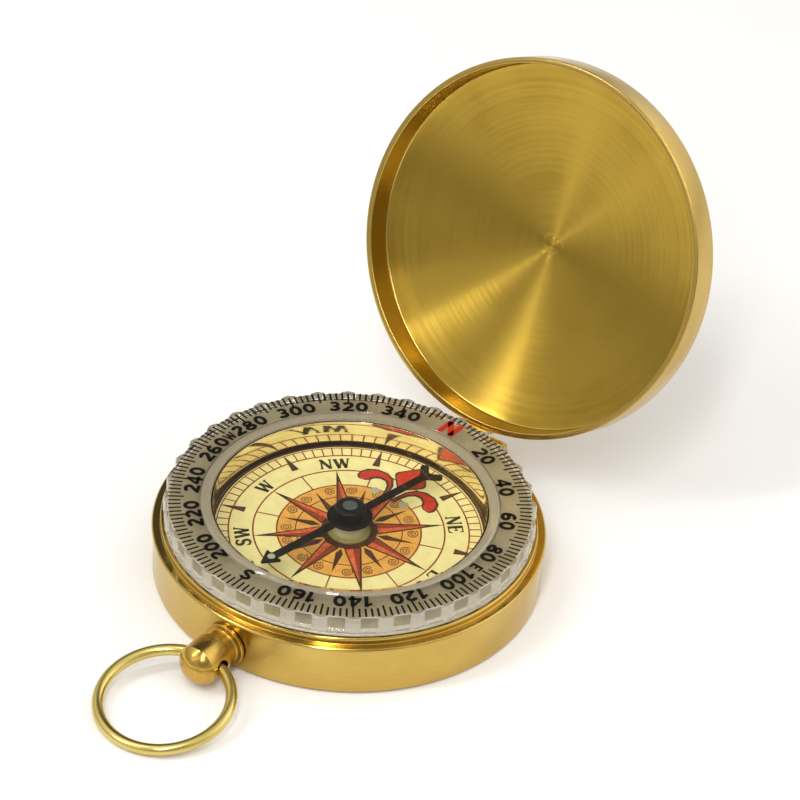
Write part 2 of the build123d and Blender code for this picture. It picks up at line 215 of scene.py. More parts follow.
# Pale cream satin paint on the seat under the bezel, a painted reflection: it sends a white line up through
# the clear edge.
pale_seat_reflection_paint = turned_brass("pale_seat_painted_reflection", "#F6F1E4", "#ECE6D4", 0.5, 0.65, 0.2, 0.001)
case = fit("case_body", case_mesh, [polished_brass, pale_seat_reflection_paint], "case", ["case_body"])
# The seat's top faces take the pale paint, a painted reflection.
for face in case.data.polygons:
    if face.center.z > (seat_level - 0.03) * MM and face.center.xy.length < seat_edge * MM:
        face.material_index = 1


# Hinge strap, knuckles and pin on the case
# A small strap with two rolled knuckles, soldered to the back of the wall, and a plain rod
# through them. All are brass of the same polish as the case.
def dress(node, finish):
    """Gives a CAD node that keeps its own shape a finish."""
    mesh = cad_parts[node].data
    mesh.materials.clear()
    mesh.materials.append(finish)


dress("case_hinge_leaf", polished_brass)
dress("hinge_pin", polished_brass)


# Pendant stem and its nut
# One turned brass stem, screwed through the wall and drawn up by a round nut inside: a thin
# collar, a neck, and a domed barrel with a cross hole for the ring.
# Freshly turned brass: redder and more open than the polished wall, with tool lines that show.
stem_brass = turned_brass("turned_brass_stem", "#CCA956", "#B8923F", 0.14, 0.34, 0.16, 0.004)

dome_base, dome_height, barrel_radius = 30.37, 1.6, 2.7
neck_radius, neck_end, ring_hole, ring_hole_place = 2.2, 27.12, 1.06, 28.72
dome_radius = (barrel_radius**2 + dome_height**2) / (2 * dome_height)
dome = []
for k in range(1, 25):
    height = dome_height * k / 24
    dome.append((math.sqrt(max(0.0, dome_radius**2 - (dome_radius - dome_height + height)**2)),
                 dome_base + height, 0))
stem_outline = [
    (0, 21.0, 0), (1.2, 21.0, 0.1), (1.2, 24.82, 0), (2.95, 24.82, 0.1), (2.95, 25.32, 0.15),
    (neck_radius, 25.32, 0.25), (neck_radius, neck_end, 0.25), (barrel_radius, neck_end, 0.1),
    (barrel_radius, dome_base, 0), *dome,
]
hole_place = Matrix.Translation((0, 0, ring_hole_place)) @ Matrix.Rotation(math.radians(90), 4, "Y")
stem_mesh = bored(turned("pendant", rounded(stem_outline), 128), ring_hole, hole_place)
stem_place = Matrix.Translation((0, 0, stem_level * MM)) @ Matrix.Rotation(math.radians(90), 4, "X")
fit("pendant", stem_mesh, [stem_brass], "case", ["pendant"], stem_place, 20.0)
dress("pendant_nut", stem_brass)


# Bow ring
# Round brass wire bent to a ring and closed inside the stem's cross hole. It hangs loose, so
# it is a paler, greener brass than the case, with drawing marks along the wire.
ring_radius, wire_radius = 8.1, 0.73
ring_y, ring_z, ring_tilt = -36.495, 1.993, 8.83
ring_brass = turned_brass("drawn_brass_wire", "#DCC97C", "#C4AE5C", 0.18, 0.36, 0.35, 0.004)

ring_outline = []
for k in range(36):
    turn = 2 * math.pi * k / 36
    ring_outline.append((ring_radius + wire_radius * math.cos(turn), wire_radius * math.sin(turn)))
ring_place = Matrix.Translation((0, ring_y * MM, ring_z * MM))
ring_place = ring_place @ Matrix.Rotation(math.radians(ring_tilt), 4, "X")
fit("bow_ring", turned("bow_ring", ring_outline, 240), [ring_brass], "bow", ["bow_ring"],
    ring_place)


# Inner cup
# A thin spun brass cup that holds the dial, with a flange on the case's ledge and a rebate for
# the lens. It is plated and buffed to a pale mirror, so the dial shows in its wall again.
cup_brass = turned_brass("plated_brass", "#F3E7C8", "#E9DAB8", 0.04, 0.12, 0.5, 0.0012)
# Near-black band round the foot of the wall, a painted shade: it stands for the dark gap between the dial's
# edge and the wall, and frames the dial.
foot_painted_shade = turned_brass("black_painted_shade_band", "#1C130B", "#140D07", 0.3, 0.45, 0.5, 0.0005, metal=0.0)

cup_radius, cup_outside, flange_radius, cup_floor = 17.3, 18.1, 23.1, 5.0
lens_seat, cup_rim, shade_band_top = 9.5, 9.9, 6.05
cup_outline = [
    (0.4, 4.2, 0), (cup_outside, 4.2, 0.3), (cup_outside, ledge_level, 0),
    (flange_radius, ledge_level, 0.05), (flange_radius, seat_level, 0.05), (cup_outside, seat_level, 0),
    (cup_outside, cup_rim, 0.05),
    (17.65, cup_rim, 0.04), (17.65, lens_seat, 0), (cup_radius, lens_seat, 0.05),
    (cup_radius, shade_band_top, 0), (cup_radius, cup_floor, 0), (0.4, cup_floor, 0),
]
cup = fit("inner_cup", turned("inner_cup", rounded(cup_outline)), [cup_brass, foot_painted_shade, pale_seat_reflection_paint],
          "case", ["inner_cup"])
for face in cup.data.polygons:
    out = face.center.xy.length / MM
    # Wall faces below the band's top take the painted shade.
    if abs(out - cup_radius) < 0.1 and face.center.z < shade_band_top * MM:
        face.material_index = 1
    # The flange top under the film takes the same pale paint, a painted reflection.
    if out > cup_outside + 1 and face.normal.z > 0.5:
        face.material_index = 2


# Dial card
# A punched disc of thin card, varnished and a little yellowed, lying on the floor of the cup.
# Varnished card: smooth with faint fibres, a soft shine, and cream that varies slightly.
def soft_paint(name, light, dark, grain, gloss, satin, bump=0.0, shine=0.5, metal=0.0):
    """A paint, ink or moulding: two near colours in a grain of that size, roughness range and shine."""
    finish, tree = new_finish(name)
    where = add_node(tree, "ShaderNodeTexCoord").outputs["Object"]
    mottle = add_node(tree, "ShaderNodeTexNoise", {"Scale": 1 / (grain * MM), "Detail": 4.0},
                      {"Vector": where})
    spread = add_node(tree, "ShaderNodeMapRange", {"From Min": 0.3, "From Max": 0.7},
                      {"Value": mottle.outputs[0]})
    colour = add_node(tree, "ShaderNodeMix", {"data_type": "RGBA", 6: linear(light), 7: linear(dark)},
                      {0: spread.outputs[0]})
    rough = add_node(tree, "ShaderNodeMapRange", {"To Min": gloss, "To Max": satin},
                     {"Value": mottle.outputs[0]})
    relief = add_node(tree, "ShaderNodeBump", {"Strength": 1.0, "Distance": bump * MM},
                      {"Height": mottle.outputs[0]})
    shader = add_node(tree, "ShaderNodeBsdfPrincipled",
                      {"Metallic": metal, "IOR": 1.5, "Specular IOR Level": shine},
                      {"Base Color": colour.outputs[2], "Roughness": rough.outputs[0],
                       "Normal": relief.outputs[0]})
    add_node(tree, "ShaderNodeOutputMaterial", links={"Surface": shader.outputs[0]})
    return finish


dial_level = 5.4
card = soft_paint("varnished_card", "#D6CC8E", "#CFC382", 1.2, 0.35, 0.55, 0.001, 0.3)
card_outline = [(0.4, cup_floor, 0), (17.2, cup_floor, 0.04), (17.2, dial_level, 0.04), (0.4, dial_level, 0)]
fit("dial_card", turned("dial_card", rounded(card_outline)), [card], "case",
    ["dial_card"])


# Dial printing
# The traditional rose in offset inks, one printing of each ink over the last: rings and boxes
# in rust, a gold field, eight red rays, the north lily, and letters at the other points.
def at(radius, bearing):
    """The point at that radius on a compass bearing, clockwise from north."""
    turn = math.radians(bearing)
    return (radius * math.sin(turn), radius * math.cos(turn))


def arc(x, y, wide, high, start, end, steps=20):
    """Points of an elliptical arc, in degrees from its right-hand side."""
    points = []
    for k in range(steps + 1):
        turn = math.radians(start + (end - start) * k / steps)
        points.append((x + wide * math.cos(turn), y + high * math.sin(turn)))
    return points


def line(path, width, closed=False):
    """The quads of a printed line along a path, of one width or of a width for each point."""
    count = len(path)
    sides = []
    for i in range(count):
        here = Vector(path[i])
        back = here - Vector(path[i - 1] if i or closed else path[i])
        ahead = Vector(path[(i + 1) % count] if i < count - 1 or closed else path[i]) - here
        course = (back.normalized() + ahead.normalized()).normalized()
        across = Vector((-course.y, course.x))
        lean = max(0.5, course.dot(back.normalized())) if back.length and ahead.length else 1.0
        half = (width[i] if isinstance(width, list) else width) / 2 / lean
        sides.append((tuple(here + across * half), tuple(here - across * half)))
    ends = sides[1:] + sides[:1] if closed else sides[1:]
    return [[a[0], b[0], b[1], a[1]] for a, b in zip(sides, ends)]


def ring(radius, width):
    """The quads of a printed circle."""
    return line(arc(0, 0, radius, radius, 0, 358, 179), width, True)


def stand(shapes, radius, bearing):
    """Shapes drawn upright about their own origin, set with their tops outward on a bearing."""
    ahead, right = Vector(at(1, bearing)), Vector(at(1, bearing + 90))
    placed = []
    for shape in shapes:
        placed.append([[tuple(ahead * (radius + y) + right * x) for x, y in face] for face in shape])
    return placed


def ink(name, shapes, level, thickness, finish, body):
    """One printing: each shape is a list of faces, and becomes a thin closed film on the level."""
    sheet = bmesh.new()
    for faces in shapes:
        corners = {}
        film = []
        for face in faces:
            points = []
            for x, y in face:
                key = (round(x, 4), round(y, 4))
                if key not in corners:
                    corners[key] = sheet.verts.new((x, y, level + thickness))
                points.append(corners[key])
            film.append(sheet.faces.new(dict.fromkeys(points)))
        under = bmesh.ops.extrude_face_region(sheet, geom=film, use_keep_orig=True)["geom"]
        for part in under:
            if isinstance(part, bmesh.types.BMVert):
                part.co.z = level
    bmesh.ops.recalc_face_normals(sheet, faces=sheet.faces)
    mesh = bpy.data.meshes.new(name)
    sheet.to_mesh(mesh)
    sheet.free()
    return fit(name, mesh, [finish], body)


# Printing inks: thin, even and slightly glossy, with the uneven cover of offset printing.
gold_ink = soft_paint("gold_ink", "#CE9A48", "#BC8534", 0.9, 0.4, 0.55, 0.0, 0.2)
rust_ink = soft_paint("rust_ink", "#843E18", "#703212", 0.6, 0.4, 0.55, 0.0, 0.2)
brown_ink = soft_paint("brown_ink", "#4E3020", "#3E2616", 0.6, 0.4, 0.55, 0.0, 0.2)
dark_ink = soft_paint("dark_ink", "#33290F", "#28200E", 0.6, 0.4, 0.55, 0.0, 0.2)
red_ink = soft_paint("red_ink", "#B8341E", "#9C2616", 0.7, 0.4, 0.55, 0.0, 0.2)
flame_ink = soft_paint("flame_ink", "#CE6C38", "#A03018", 0.35, 0.4, 0.55, 0.0, 0.2)
shade_ink = soft_paint("shade_ink", "#8A3A22", "#74301C", 0.5, 0.4, 0.55, 0.0, 0.2)

FILM = 0.008
rose_radius, rule_radius, letter_radius = 9.0, 11.95, 13.32
box_low, box_high, border_low, border_high = 15.0, 16.55, 16.78, 17.15
rule_width, stroke_width = 0.2, 0.17

gold_field = [[arc(0, 0, rose_radius, rose_radius, 0, 357, 119)]]
ink("dial_gold_field", gold_field, dial_level, FILM, gold_ink, "case")

rules = [ring(radius, rule_width) for radius in (rose_radius, rule_radius, box_low)] + [ring(box_high, 0.14)]
for step in range(80):
    rules.append(line([at(box_low, step * 4.5), at(box_high, step * 4.5)], stroke_width))
for step in range(8):
    bearing = 22.5 + 45 * step
    rules.append(line([at(rose_radius, bearing), at(rule_radius, bearing)], stroke_width))
ink("dial_rules", rules, dial_level, 2 * FILM, rust_ink, "case")

# The wide dark brown ring of radius 3.1 round the pivot's foot is a painted shadow of the foot; the other
# rings, wedges, diamonds and curls are print.
brown_print_and_foot_shadow = [ring((border_low + border_high) / 2, border_high - border_low), ring(6.65, 0.13), ring(3.1, 0.9)]
for step in range(8):
    bearing = 22.5 + 45 * step
    wedge = [at(13.45, bearing - 2.1), at(13.45, bearing + 2.1), at(16.5, bearing + 0.2),
             at(16.5, bearing - 0.2)]
    brown_print_and_foot_shadow.append([wedge])
    diamond = [(0, 3.7), (0.47, 4.7), (0, 8.4), (-0.47, 4.7)]
    brown_print_and_foot_shadow.extend(stand([[diamond]], 0, bearing))
    for side in (-1, 1):
        centre = at(7.9, 45 * step + side * 9.6)
        curl = []
        for k in range(40):
            turn = side * k * 0.36
            reach = 0.76 - 0.7 * k / 39
            curl.append((centre[0] + reach * math.sin(turn), centre[1] + reach * math.cos(turn)))
        brown_print_and_foot_shadow.append(line(curl, 0.12))
ink("dial_brown_print_and_foot_shadow", brown_print_and_foot_shadow, dial_level, 3 * FILM, brown_ink, "case")

outlines, flames, shades = [], [], []
for step in range(8):
    bearing = 45 * step
    outlines.extend(stand([[[(-1.1, 3.45), (0, 11.9), (1.1, 3.45)]]], 0, bearing))
    flames.extend(stand([[[(0, 3.6), (0, 9.8), (0.1, 9.5), (0.9, 3.6)]]], 0, bearing))
    shades.extend(stand([[[(0, 3.6), (-0.9, 3.6), (-0.1, 9.5), (0, 9.8)]]], 0, bearing))
ink("dial_ray_outlines", outlines, dial_level, 4 * FILM, dark_ink, "case")
ink("dial_ray_lights", flames, dial_level, 5 * FILM, flame_ink, "case")
ink("dial_ray_shades", shades, dial_level, 5 * FILM, shade_ink, "case")


def lily(grow):
    """The north lily's middle leaf and two curled leaves, grown by that much all round."""
    leaf = [(0, 16.0 + grow, 0.5), (-2.3 - grow, 12.9, 0.8), (0, 10.3 - grow, 0.6),
            (2.3 + grow, 12.9, 0.8)]
    parts = [[rounded(leaf)]]
    for side in (-1, 1):
        spine = [(0.75, 8.0), (0.95, 9.2), (1.35, 10.4), (2.1, 11.25), (3.1, 11.5), (4.1, 11.25),
                 (4.75, 10.7), (5.0, 10.1), (5.03, 9.7), (5.0, 9.4), (4.96, 9.2)]
        widths = [0.1, 0.25, 0.4, 0.65, 1.0, 1.35, 1.6, 1.65, 1.45, 1.05, 0.4]
        parts.append(line([(side * x, y) for x, y in spine], [w + 2 * grow for w in widths]))
    return parts


ink("dial_lily_outline", lily(0.22), dial_level, 6 * FILM, brown_ink, "case")
ink("dial_lily", lily(-0.1), dial_level, 7 * FILM, red_ink, "case")

# Roman letters of the dial, drawn in a box one high: heavy and light strokes with bar serifs
roman = {
    "N": (0.86, [line([(-0.3, 0), (-0.3, 1)], 0.12), line([(-0.34, 0.98), (0.3, 0.02)], 0.24),
                 line([(0.3, 0), (0.3, 1)], 0.12), line([(-0.43, 0.97), (-0.2, 0.97)], 0.09),
                 line([(-0.42, 0.03), (-0.18, 0.03)], 0.09), line([(0.18, 0.97), (0.42, 0.97)], 0.09)]),
    "E": (0.72, [line([(-0.2, 0), (-0.2, 1)], 0.24), line([(-0.33, 0.97), (0.3, 0.97)], 0.09),
                 line([(-0.33, 0.03), (0.33, 0.03)], 0.09), line([(-0.2, 0.52), (0.14, 0.52)], 0.1),
                 line([(0.28, 1), (0.3, 0.78)], 0.09), line([(0.3, 0), (0.34, 0.24)], 0.09),
                 line([(0.14, 0.4), (0.14, 0.64)], 0.09)]),
    "W": (1.14, [line([(-0.46, 1), (-0.22, 0)], 0.24), line([(-0.22, 0), (0.03, 0.98)], 0.12),
                 line([(0.0, 1), (0.24, 0)], 0.24), line([(0.24, 0), (0.47, 0.98)], 0.12),
                 line([(-0.58, 0.97), (-0.3, 0.97)], 0.09), line([(-0.1, 0.97), (0.14, 0.97)], 0.09),
                 line([(0.35, 0.97), (0.58, 0.97)], 0.09)]),
    "S": (0.66, [line(arc(0, 0.74, 0.22, 0.22, 20, 250, 16) + arc(0, 0.27, 0.24, 0.24, 75, -165, 16),
                      [0.1 + 0.15 * math.sin(math.pi * k / 33) for k in range(34)]),
                 line([(0.23, 0.72), (0.23, 0.98)], 0.09), line([(-0.25, 0.03), (-0.25, 0.3)], 0.09)]),
}


def lettered(word, alphabet, height, gap):
    """The shapes of a word about its middle, from an alphabet of (width, shapes), at that height."""
    total = sum(alphabet[mark][0] for mark in word) + gap * (len(word) - 1)
    shapes, start = [], -total / 2
    for mark in word:
        width, strokes = alphabet[mark]
        for stroke in strokes:
            shapes.append([[((start + width / 2 + x) * height, (y - 0.5) * height) for x, y in face]
                           for face in stroke])
        start += width + gap
    return shapes


letters = []
for step, word in enumerate(("NE", "E", "SE", "S", "SW", "W", "NW")):
    letters.extend(stand(lettered(word, roman, 1.87, 0.1), letter_radius, 45 * (step + 1)))
ink("dial_letters", letters, dial_level, 3 * FILM, dark_ink, "case")


# Pivot, its foot and the dial's two luminous dots
# A pointed steel pin carries the needle. Its foot is a domed olive plastic button pressed on
# the card, and two dots of luminous paint mark north.
pivot_steel = soft_paint("ground_steel", "#B9BBBD", "#A2A4A6", 0.3, 0.2, 0.3, metal=1.0)
dress("pivot_pin", pivot_steel)

# Moulded plastic: a cream middle that thins to olive green at the rim, with a wet shine.
foot_finish, tree = new_finish("olive_plastic")
where = add_node(tree, "ShaderNodeTexCoord").outputs["Object"]
level = add_node(tree, "ShaderNodeVectorMath", {"operation": "MULTIPLY", 1: (1, 1, 0)}, {0: where})
out = add_node(tree, "ShaderNodeVectorMath", {"operation": "LENGTH"}, {0: level.outputs[0]})
shade = add_node(tree, "ShaderNodeMapRange", {"From Min": 1.4 * MM, "From Max": 2.6 * MM},
                 {"Value": out.outputs["Value"]})
colour = add_node(tree, "ShaderNodeMix",
                  {"data_type": "RGBA", 6: linear("#E2D8A0"), 7: linear("#7A6E30")}, {0: shade.outputs[0]})
shader = add_node(tree, "ShaderNodeBsdfPrincipled", {"Roughness": 0.18, "IOR": 1.49},
                  {"Base Color": colour.outputs[2]})
add_node(tree, "ShaderNodeOutputMaterial", links={"Surface": shader.outputs[0]})

foot_outline = [(0.4, dial_level, 0), (2.7, dial_level, 0), (2.7, 5.55, 0.1), (2.45, 5.7, 0.15),
                (1.9, 5.62, 0.3), (0.8, 5.6, 0.2), (0.4, 5.68, 0)]
fit("dial_boss", turned("dial_boss", rounded(foot_outline), 96), [foot_finish], "case",
    ["dial_boss"])

# Luminous paint: a thick grainy drop, grey-green by day.
lume = soft_paint("luminous_paint", "#A3A084", "#8E8B6E", 0.15, 0.5, 0.7, 0.006, 0.2)
drop_height = 0.08


def paint_drop(name, radius, base, places, finish, body):
    """Low domes of paint of that radius, one at each (x, y) place, for the CAD node of that name."""
    drops = bmesh.new()
    for x, y in places:
        dome_points = [(0, base, 0), (radius, base, 0), (radius * 0.93, base + drop_height * 0.55, 0.02),
                       (radius * 0.6, base + drop_height * 0.93, 0), (0, base + drop_height, 0)]
        drop = turned(name, rounded(dome_points), 40)
        drop.transform(Matrix.Translation((x, y, 0)))
        drops.from_mesh(drop)
    mesh = bpy.data.meshes.new(name)
    drops.to_mesh(mesh)
    drops.free()
    return fit(name, mesh, [finish], body, [name], crease=60.0)


paint_drop("dial_lume_dots", 0.65, dial_level, [at(8.7, -15), at(8.7, 15)], lume, "case")


# Needle
# A stamped steel strip, blacked, with an arrow head, a fishtail and a round hub. A black drum
# on the hub hides the ring magnet and the jewel that turns on the pin.
# Black enamel: deep, slightly warm black with an orange-peel shine.
black_enamel = soft_paint("black_enamel", "#100F0D", "#171512", 0.5, 0.3, 0.45, 0.002, 0.12)


def plate(name, outline, bottom, top, edge):
    """A flat plate of that closed outline, with its edges eased by a small bevel."""
    strip = line(outline, 2 * edge, True)
    sides = {1: [face[0] for face in strip], -1: [face[3] for face in strip]}
    spread = {s: sum(Vector(p).length for p in sides[s]) for s in sides}
    narrow = sides[min(spread, key=spread.get)]
    shape = bmesh.new()
    layers = []
    heights = (bottom, bottom + edge, top - edge, top)
    for points, height in zip((narrow, outline, outline, narrow), heights):
        layers.append([shape.verts.new((x, y, height)) for x, y in points])
    for low, high in zip(layers, layers[1:]):
        for i in range(len(outline)):
            shape.faces.new((low[i - 1], low[i], high[i], high[i - 1]))
    shape.faces.new(layers[0])
    shape.faces.new(layers[-1])
    bmesh.ops.recalc_face_normals(shape, faces=shape.faces)
    mesh = bpy.data.meshes.new(name)
    shape.to_mesh(mesh)
    shape.free()
    return mesh


needle_bearing, reach = 191.0, 14.75
blade_low, blade_high = 7.4, 7.7
half, hub = 0.55, 2.88
hub_turn = math.degrees(math.asin(half / hub))
blade_outline = [(0, reach, 0.15), (-1.52, reach - 2.5, 0.28), (-half, reach - 2.15, 0.3)]
blade_outline += [(x, y, 0) for x, y in arc(0, 0, hub, hub, 90 + hub_turn, 270 - hub_turn, 32)]
blade_outline += [
    (-half, 2.3 - reach, 0.6), (-2.05, 0.75 - reach, 0.45), (-1.25, -0.02 - reach, 0.45),
    (0, 1.2 - reach, 0.5), (1.25, -0.02 - reach, 0.45), (2.05, 0.75 - reach, 0.45), (half, 2.3 - reach, 0.6),
]
blade_outline += [(x, y, 0) for x, y in arc(0, 0, hub, hub, hub_turn - 90, 90 - hub_turn, 32)]
blade_outline += [(half, reach - 2.15, 0.3), (1.52, reach - 2.5, 0.28)]
needle_turn = Matrix.Rotation(math.radians(-needle_bearing), 4, "Z")
blade_mesh = plate("needle_blade", rounded(blade_outline), blade_low, blade_high, 0.06)
fit("needle_blade", blade_mesh, [black_enamel], "needle", ["needle_blade"], needle_turn)

drum_radius, drum_top, roof_low = 2.0, 9.2, 8.9
drum_outline = [
    (0.77, blade_high, 0), (1.0, blade_high, 0), (1.0, roof_low, 0), (1.7, roof_low, 0),
    (1.7, blade_high, 0), (drum_radius, blade_high, 0.05), (drum_radius, drum_top, 0.42),
    (0, drum_top, 0), (0, roof_low, 0), (0.77, roof_low, 0),
]
black_moulding = soft_paint("black_moulding", "#0F0F0E", "#161513", 0.4, 0.25, 0.4, 0.002, 0.15)
fit("needle_cap", turned("needle_cap", rounded(drum_outline), 128), [black_moulding], "needle",
    ["needle_cap"])

sintered = soft_paint("sintered_magnet", "#4A4A4C", "#3C3C3E", 0.2, 0.4, 0.6)
dress("needle_magnet", sintered)
ruby = soft_paint("synthetic_ruby", "#B03050", "#8E2440", 0.5, 0.08, 0.12)
dress("needle_jewel", ruby)

# The drum's own dot has darkened with age.
aged_lume = soft_paint("aged_luminous_paint", "#4C524C", "#3A403B", 0.15, 0.25, 0.4, 0.006, 0.3)
paint_drop("needle_lume_hub", 0.94, drum_top, [(0, 0)], aged_lume, "needle")
paint_drop("needle_lume_tip", 0.5, blade_high, [at(reach - 1.8, needle_bearing)], lume, "needle")


# Lens
# A window turned from clear acrylic, pressed into the cup's rebate, with a bevelled rim that
# keeps the bezel down. The bevel bends the view of the dial's edge.
# Clear acrylic: IOR 1.49, no tint to speak of, polished, with the slightest waviness.
def clear_plastic(name, tint, rough, passed):
    """Clear acrylic of that tint and roughness, letting that share of the light through."""
    finish, tree = new_finish(name)
    where = add_node(tree, "ShaderNodeTexCoord").outputs["Object"]
    ripple = add_node(tree, "ShaderNodeTexNoise", {"Scale": 1 / (4.0 * MM), "Detail": 1.0},
                      {"Vector": where})
    wave = add_node(tree, "ShaderNodeBump", {"Strength": 1.0, "Distance": 0.002 * MM},
                    {"Height": ripple.outputs[0]})
    shader = add_node(tree, "ShaderNodeBsdfPrincipled",
                      {"Base Color": linear(tint), "Roughness": rough, "IOR": 1.49,
                       "Transmission Weight": passed}, {"Normal": wave.outputs[0]})
    add_node(tree, "ShaderNodeOutputMaterial", links={"Surface": shader.outputs[0]})
    return finish


clear_acrylic = clear_plastic("clear_acrylic", "#FDFDFA", 0.0, 1.0)
# Silver-grey paint on the lens's hidden seat, seen through its bevel as a soft grey line.
rim_paint = soft_paint("silver_rim_paint", "#9E947D", "#928870", 0.3, 0.35, 0.5)

lens_radius, spigot_radius, lens_top = 18.9, 17.6, 10.9
lens_outline = [
    (0, lens_seat, 0), (spigot_radius, lens_seat, 0.05), (spigot_radius, cup_rim, 0),
    (lens_radius, cup_rim, 0.05), (lens_radius, 10.5, 0.05), (18.6, 10.8, 0.1), (18.0, lens_top, 0.1),
    (0, lens_top, 0),
]
lens = fit("lens", turned("lens", rounded(lens_outline)), [clear_acrylic, rim_paint], "case",
           ["lens"])
lens.visible_shadow = False
for face in lens.data.polygons:
    if face.center.xy.length > (spigot_radius - 0.1) * MM and face.normal.z < 0.2:
        face.material_index = 1


# Scale backing
# A flat ring punched from grey satin film, stuck under the clear bezel so that the scale reads.
# Silver-grey film: a dull metallic paint with fine flakes.
grey_film = soft_paint("grey_film", "#A99C7C", "#9B8E6D", 0.25, 0.35, 0.5, 0.001)
film_in, film_out, film_low, film_high = 18.9, 22.9, 8.2, 8.36
backing_outline = [(film_in, film_low, 0.02), (film_out, film_low, 0.02), (film_out, film_high, 0.02),
                   (film_in, film_high, 0.02)]
fit("scale_backing", turned("scale_backing", rounded(backing_outline, 2)), [grey_film], "bezel",
    ["scale_backing"])


# Bezel ring
# A clear acrylic ring, moulded with a grip bump every ten degrees, fine flutes between and a
# flange at its foot, that turns round the cup under the lens rim. Its bore is painted.
bezel_turn, bump_pitch, flute_pitch, flute_depth = 2.0, 10.0, 2.0, 0.04
plain_radius, bump_radius, bump_centre = 23.1, 1.3, 22.3


def grip(turn):
    """How far the bezel's edge stands out of its plain radius at that angle."""
    off = math.radians((math.degrees(turn) + bezel_turn + bump_pitch / 2) % bump_pitch - bump_pitch / 2)
    flute = flute_depth * (math.cos(off * 360 / flute_pitch) - 1)
    inside = bump_radius**2 - (bump_centre * math.sin(off))**2
    if inside < 0:
        return flute
    return flute + max(0.0, bump_centre * math.cos(off) + math.sqrt(inside) - plain_radius)


bezel_low, bezel_high, bezel_bore, bezel_step, rebate = 8.35, 10.7, 18.2, 9.8, 19.0
flange_edge, flange_share = plain_radius + 0.2, 0.6
bezel_outline = [
    (bezel_bore, bezel_low, 0), (18.95, bezel_low, 0), (flange_edge - 0.1, bezel_low, flange_share),
    (flange_edge, bezel_low + 0.1, flange_share), (flange_edge, bezel_low + 0.35, flange_share),
    (plain_radius, bezel_low + 0.6, 1), (plain_radius, bezel_high - 0.16, 1),
    (plain_radius - 0.12, bezel_high, 1), (rebate + 0.05, bezel_high, 0),
    (rebate, bezel_high - 0.05, 0), (rebate, bezel_step, 0), (bezel_bore, bezel_step, 0),
]
# Whitened acrylic on the bumps and edges, a painted glint: it lets less light through so that they read
# white, while the flats between stay clear and show the grey film.
white_glint_acrylic = clear_plastic("whitened_acrylic_painted_glint", "#FDFCFA", 0.01, 0.76)
bezel = fit("bezel_ring", turned("bezel_ring", bezel_outline, 1080, grip),
            [clear_acrylic, white_glint_acrylic, rim_paint], "bezel", ["bezel_ring"],
            crease=25.0)
bezel.visible_shadow = False
for face in bezel.data.polygons:
    # Bumps and edge chamfers take the whitened acrylic, a painted glint; the bore takes the rim paint.
    out = face.center.xy.length / MM - plain_radius
    if out > 0.1 or out > -0.2 and 0.2 < abs(face.normal.z) < 0.95:
        face.material_index = 1
    if face.center.xy.length < (rebate + 0.02) * MM and face.normal.z < 0.5:
        face.material_index = 2


# Bezel scale
# Black ticks every two degrees, bold figures every twenty, small letters at three quarters and
# a large red north, stamped on the bezel's top in foil ink.
STROKE = 0.25
bold = {
    "0": (0.8, [line(arc(0, 0.5, 0.27, 0.38, 0, 350, 35), STROKE, True)]),
    "1": (0.56, [line([(0.1, 0), (0.1, 1)], STROKE), line([(0.12, 0.9), (-0.24, 0.68)], 0.2)]),
    "2": (0.76, [line(arc(0, 0.68, 0.24, 0.2, 170, -35, 16) + [(-0.22, 0.14)], STROKE),
                 line([(-0.36, 0.11), (0.37, 0.11)], 0.22)]),
    "3": (0.76, [line(arc(-0.02, 0.7, 0.23, 0.19, 155, -80, 14), 0.23),
                 line(arc(-0.02, 0.3, 0.26, 0.19, 80, -155, 14), STROKE),
                 line([(-0.12, 0.51), (0.06, 0.51)], 0.18)]),
    "4": (0.8, [line([(0.14, 0), (0.14, 1)], STROKE), line([(0.1, 0.93), (-0.3, 0.36)], 0.19),
                line([(-0.4, 0.3), (0.38, 0.3)], 0.21)]),
    "6": (0.8, [line(arc(0, 0.32, 0.27, 0.2, 0, 350, 29), STROKE, True),
                line(arc(0.02, 0.49, 0.29, 0.39, 55, 195, 12), 0.23)]),
    "8": (0.8, [line(arc(0, 0.73, 0.22, 0.16, 0, 350, 29), 0.22, True),
                line(arc(0, 0.29, 0.27, 0.18, 0, 350, 29), STROKE, True)]),
    "N": (0.8, [line([(-0.28, 0), (-0.28, 1)], 0.26), line([(0.28, 0), (0.28, 1)], 0.26),
                line([(-0.3, 0.92), (0.3, 0.08)], 0.27)]),
    "E": (0.62, [line([(-0.2, 0), (-0.2, 1)], STROKE), line([(-0.2, 0.91), (0.28, 0.91)], 0.18),
                 line([(-0.2, 0.51), (0.22, 0.51)], 0.17), line([(-0.2, 0.09), (0.28, 0.09)], 0.18)]),
    "S": (0.64, [line(arc(0, 0.71, 0.24, 0.18, 20, 270, 16) + arc(0, 0.3, 0.25, 0.19, 85, -160, 16),
                      0.23)]),
    "W": (0.9, [line([(-0.38, 1), (-0.18, 0.02)], 0.18), line([(-0.18, 0.02), (0.0, 0.9)], 0.16),
                line([(0.0, 0.9), (0.18, 0.02)], 0.16), line([(0.18, 0.02), (0.38, 1)], 0.18)]),
}
scale_black = soft_paint("black_foil_ink", "#100E0A", "#171410", 0.3, 0.4, 0.55, 0.0, 0.12)
scale_red = soft_paint("red_foil_ink", "#C4301C", "#B02818", 0.3, 0.4, 0.55, 0.0, 0.2)

